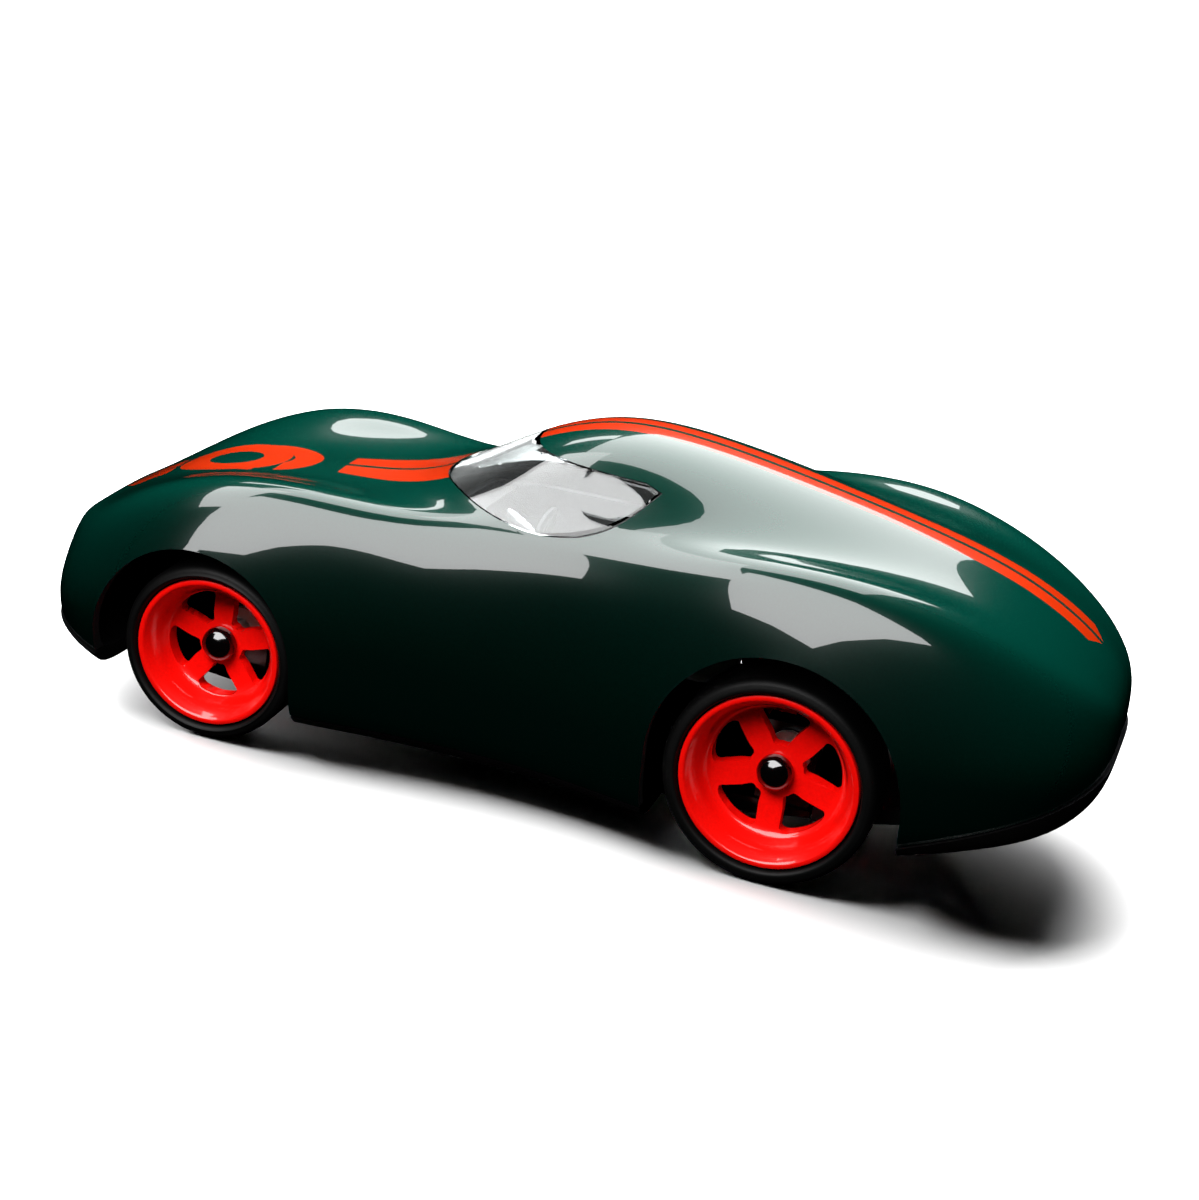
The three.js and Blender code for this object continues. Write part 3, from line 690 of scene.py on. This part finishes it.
def make_tyre(wheel, side, material):
    name = "left" if side > 0 else "right"
    mm = MM
    rim, tyre = wheel.rim, wheel.radius
    seat = rim - 1.0 * mm + GAP
    outside, inside = wheel.outside, wheel.outside - wheel.width
    shoulder = [(math.cos(a), math.sin(a)) for a in (math.pi / 2 * k / 6 for k in range(7))]
    round_r, round_y = 1.3 * mm, 1.5 * mm
    profile = [(seat, -2.2 * mm), (rim + GAP, -1.3 * mm), (rim + GAP, -0.1 * mm)]
    profile += [(rim + 0.55 * mm, outside * 0.8), (rim + 0.9 * mm, outside)]
    profile += [
        (tyre - round_r + round_r * s, outside - 0.15 * mm - round_y + round_y * c) for c, s in shoulder
    ]
    profile += [
        (tyre - round_r + round_r * c, inside + 0.15 * mm + round_y - round_y * s) for c, s in shoulder
    ]
    profile += [(rim + 0.9 * mm, inside), (rim + GAP, inside + 0.8 * mm), (rim + GAP, inside + 1.6 * mm)]
    profile += [(seat, inside + 2.4 * mm), (seat, -2.2 * mm)]
    centre = Vector((wheel.x, side * wheel.face, wheel.z))
    piece = turned(profile, centre, side, f"{wheel.end}_tyre_{name}_skin", 144, math.radians(50))
    dress(piece, material, "tyre_rubber", f"{wheel.end}_wheels", f"{wheel.end}_tyre_{name}")


def make_cap(wheel, side, material):
    name = "left" if side > 0 else "right"
    node = f"{wheel.end}_hub_cap_{name}"
    lo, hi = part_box(node)
    radius, height = (hi.x - lo.x) / 2, hi.y - lo.y
    base = lo.y if side > 0 else hi.y
    rise = 0.25 * height
    profile = [(0, 0), (radius, 0), (radius, rise)]
    profile += [
        (radius * math.cos(a), rise + (height - rise) * math.sin(a))
        for a in (math.pi / 2 * k / 12 for k in range(1, 12))
    ] + [(0, height)]
    centre = Vector((wheel.x, base, wheel.z))
    piece = turned(profile, centre, side, f"{node}_skin", 64, math.radians(50))
    dress(piece, material, "gloss_black", f"{wheel.end}_wheels", node)


def make_seat(node, material):
    lo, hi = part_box(node)
    size = hi - lo
    outline = [
        (0.09, 0.0), (0.93, 0.0), (1.0, 0.10), (0.98, 0.19), (0.72, 0.2), (0.45, 0.15), (0.36, 0.25),
        (0.24, 0.9), (0.2, 0.97), (0.12, 1.0), (0.04, 0.97), (0.01, 0.9), (0.06, 0.3),
    ]
    points = [(lo.x + a * size.x, lo.z + b * size.z) for a, b in outline]
    seat = plate(spline([*points, points[0]], 3)[:-1], lo.y, hi.y, f"{node}_pad")
    bevel(seat, 1.5 * MM, 4, math.radians(50))
    shade(seat, math.radians(60))
    dress(seat, material, "trim_black", "car_body", node)


# ---- add-on ------------------------------------------------------------------------------


class CoupeSettings(bpy.types.PropertyGroup):
    """Colours and light that a user would change."""

    green: bpy.props.FloatVectorProperty(
        name="Body colour", description="Main paint colour", subtype="COLOR", size=4, default=GREEN,
        min=0, max=1,
    )
    orange: bpy.props.FloatVectorProperty(
        name="Stripe colour", description="Colour of the stripes and the number", subtype="COLOR",
        size=4, default=ORANGE, min=0, max=1,
    )
    red: bpy.props.FloatVectorProperty(
        name="Wheel colour", description="Colour of the wheels", subtype="COLOR", size=4, default=RED,
        min=0, max=1,
    )
    key: bpy.props.FloatProperty(
        name="Key light", description="Strength of the large overhead light", default=1.0, min=0,
    )


class COUPE_OT_body(bpy.types.Operator):
    """Builds the painted body shell"""

    bl_idname = "coupe.body"
    bl_label = "Body shell"

    def execute(self, context):
        make_shell(context.scene.coupe)
        return {"FINISHED"}


class COUPE_OT_glazing(bpy.types.Operator):
    """Builds the wrap-round glazing"""

    bl_idname = "coupe.glazing"
    bl_label = "Glazing"

    def execute(self, context):
        make_glazing()
        return {"FINISHED"}


class COUPE_OT_skirts(bpy.types.Operator):
    """Builds the front lip and the rear valance, and gives the pan its finish"""

    bl_idname = "coupe.skirts"
    bl_label = "Black lower parts"

    def execute(self, context):
        make_skirts()
        return {"FINISHED"}


class COUPE_OT_wheels(bpy.types.Operator):
    """Builds the rims, tyres and hub caps"""

    bl_idname = "coupe.wheels"
    bl_label = "Wheels"

    def execute(self, context):
        red = red_metal(tuple(context.scene.coupe.red))
        gloss = plain("gloss_black", BLACK, 0.5, 0.12, 0.05, 900.0, 0.03, Coat_Weight=1.0)
        for wheel in WHEELS:
            tread = rubber(wheel)
            for side in (1, -1):
                make_rim(wheel, side, red)
                make_tyre(wheel, side, tread)
                make_cap(wheel, side, gloss)
        return {"FINISHED"}


class COUPE_OT_cockpit(bpy.types.Operator):
    """Builds the seats and gives the rest of the cockpit its finish"""

    bl_idname = "coupe.cockpit"
    bl_label = "Cockpit"

    def execute(self, context):
        trim = plain("trim_black", (0.012, 0.012, 0.013, 1), 1.2, 0.5, 0.2, 1300.0, 0.3)
        for side in ("left", "right"):
            make_seat(f"seat_{side}", trim)
        for node in ("cockpit_tub", "dashboard", "steering_wheel"):
            finish_node(node, trim)
        return {"FINISHED"}


class COUPE_OT_hardware(bpy.types.Operator):
    """Gives the axles, screws, bushes and column their finish"""

    bl_idname = "coupe.hardware"
    bl_label = "Hardware"

    def execute(self, context):
        steel = plain("steel", (0.55, 0.56, 0.57, 1), 0.2, 0.3, 0.2, 2200.0, 0.2, Metallic=1.0)
        nylon = plain("nylon", (0.68, 0.66, 0.6, 1), 0.1, 0.45, 0.1, 900.0, 0.1)
        for node in frame["nodes"]:
            if node.endswith("_axle") or node.startswith("screw_") or node == "steering_column":
                finish_node(node, steel)
            if "_bush_" in node:
                finish_node(node, nylon)
        return {"FINISHED"}


def finish_node(node, material):
    """Puts a material on a CAD node that is carried over."""
    piece = frame["nodes"][node]
    piece.data.materials.clear()
    piece.data.materials.append(material)


class COUPE_OT_stage(bpy.types.Operator):
    """Makes the floor, the lights, the world and the camera"""

    bl_idname = "coupe.stage"
    bl_label = "Stage"

    def execute(self, context):
        make_stage(context.scene)
        return {"FINISHED"}


# name, place, target, width and depth (m), turn about Z, radiance, whether matt or glossy rays see it
SOFTBOXES = (
    ("near_softbox", (0.27, 0.85, 0.45), (0.27, 0.85, 0), (1.32, 0.62), math.radians(60), 9.0, "gloss"),
    ("bridge_softbox", (0.33, 0.12, 0.45), (0.33, 0.12, 0), (0.2, 0.5), math.radians(-14), 9.0, "gloss"),
    ("far_softbox", (0.31, -0.40, 0.45), (0.31, -0.40, 0), (0.17, 0.09), 0, 7.0, "gloss"),
    ("top_softbox", (0.06, -0.29, 0.45), (0.06, -0.29, 0), (0.33, 0.62), math.radians(-8), 6.5, "gloss"),
    ("top_fill", (0.05, -0.2, 0.5), (0, 0, 0.03), (0.5, 0.5), 0, 11.0, "matt"),
    ("near_fill", (0.1, 0.5, 0.45), (0, 0, 0.03), (0.4, 0.2), 0, 1.6, "matt"),
)
WHEEL_FILL = ("wheel_fill", (0.12, 0.4, 0.5), (0, 0, 0.02), (0.4, 0.25), 0, 24.0, "matt")
FLOOR_WASH = ("floor_wash", (0.9, -0.6, 1.15), (0, 0, 0), (2.6, 2.6), 0, 12.0, "matt")


def light(box, key, links):
    """A rectangular softbox of a given radiance, aimed at a point and limited to some pieces."""
    name, place, target, size, turn, radiance, seen = box
    lamp = bpy.data.lights.new(name, "AREA")
    lamp.shape = "RECTANGLE"
    lamp.size, lamp.size_y = size
    lamp.energy = math.pi * size[0] * size[1] * radiance * key
    holder = bpy.data.objects.new(name, lamp)
    holder.location = place
    aim = (Vector(target) - Vector(place)).to_track_quat("-Z", "Y").to_matrix()
    holder.rotation_euler = (Matrix.Rotation(turn, 3, "Z") @ aim).to_euler()
    holder.visible_diffuse = seen == "matt"
    holder.visible_glossy = seen == "gloss"
    holder.light_linking.receiver_collection = links
    bpy.context.scene.collection.objects.link(holder)


def linked_lights(name, pieces, state):
    """A light-linking collection that includes or leaves out some pieces."""
    group = bpy.data.collections.new(name)
    for piece in pieces:
        group.objects.link(piece)
    for member in group.collection_objects:
        member.light_linking.link_state = state
    return group


FLOOR_RADIUS = 1.7
CAMERA_PLACE = Vector((-0.10835, 0.38593, 0.18506))
CAMERA_TURN = math.radians(15.39)
CAMERA_TILT = math.radians(21.78)
CAMERA_ROLL = math.radians(7.83)
CAMERA_LENS = 78.07
CAMERA_SHIFT = 0.0167


def make_stage(scene):
    key = scene.coupe.key
    bm = bmesh.new()
    bmesh.ops.create_circle(bm, cap_ends=True, segments=96, radius=FLOOR_RADIUS)
    floor = to_object(bm, "floor", smooth=False)
    paper = Shader("floor_paper", Roughness=0.9, Specular_IOR_Level=0.1)
    cloud = paper.noise(3.0, 2.0)
    paper.set("Base Color", paper.mix(cloud, (0.93, 0.93, 0.93, 1), (0.95, 0.95, 0.95, 1)))
    floor.data.materials.append(paper.material)

    floor_only = linked_lights("floor_only", [floor], "INCLUDE")
    car_only = linked_lights("car_only", [floor], "EXCLUDE")
    wheels = [piece for piece in bpy.data.objects if piece.get("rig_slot") == "red_rim"]
    light(WHEEL_FILL, key, linked_lights("wheels_only", wheels, "INCLUDE"))
    light(FLOOR_WASH, key, floor_only)
    for softbox in SOFTBOXES:
        light(softbox, key, car_only)
    floor.visible_glossy = False
    floor.visible_diffuse = False

    world = bpy.data.worlds.new("studio")
    scene.world = world
    world.use_nodes = True
    sky = world.node_tree.nodes["Background"]
    sky.inputs["Color"].default_value = (1, 1, 1, 1)
    world.cycles_visibility.diffuse = False
    world.cycles_visibility.glossy = False

    camera = bpy.data.objects.new("camera", bpy.data.cameras.new("camera"))
    scene.collection.objects.link(camera)
    scene.camera = camera
    a, e, r = CAMERA_TURN, CAMERA_TILT, CAMERA_ROLL
    forward = Vector((math.sin(a) * math.cos(e), -math.cos(a) * math.cos(e), -math.sin(e)))
    level = Vector((-math.cos(a), -math.sin(a), 0))
    above = level.cross(forward)
    right = level * math.cos(r) + above * math.sin(r)
    top = above * math.cos(r) - level * math.sin(r)
    turn = Matrix((right, top, -forward)).transposed()
    camera.matrix_world = Matrix.Translation(CAMERA_PLACE) @ turn.to_4x4()
    camera.data.sensor_fit = "HORIZONTAL"
    camera.data.sensor_width = 36
    camera.data.lens = CAMERA_LENS
    camera.data.shift_y = CAMERA_SHIFT
    camera.data.clip_start = 0.01
    scene.view_settings.view_transform = "Standard"


OPERATORS = (
    COUPE_OT_body, COUPE_OT_glazing, COUPE_OT_skirts, COUPE_OT_wheels, COUPE_OT_cockpit,
    COUPE_OT_hardware, COUPE_OT_stage,
)


class COUPE_PT_panel(bpy.types.Panel):
    """Lists the pieces of the coupe"""

    bl_idname = "COUPE_PT_panel"
    bl_label = "Die-cast coupe"
    bl_space_type = "VIEW_3D"
    bl_region_type = "UI"
    bl_category = "Coupe"

    def draw(self, context):
        settings = context.scene.coupe
        for name in ("green", "orange", "red", "key"):
            self.layout.prop(settings, name)
        for operator in OPERATORS:
            self.layout.operator(operator.bl_idname)


CLASSES = (CoupeSettings, *OPERATORS, COUPE_PT_panel)


def register():
    for cls in CLASSES:
        bpy.utils.register_class(cls)
    bpy.types.Scene.coupe = bpy.props.PointerProperty(type=CoupeSettings)


def unregister():
    del bpy.types.Scene.coupe
    for cls in reversed(CLASSES):
        bpy.utils.unregister_class(cls)


def main():
    register()
    for operator in OPERATORS:
        name = operator.bl_idname.split(".")[1]
        getattr(bpy.ops.coupe, name)()


if __name__ == "__main__":
    main()
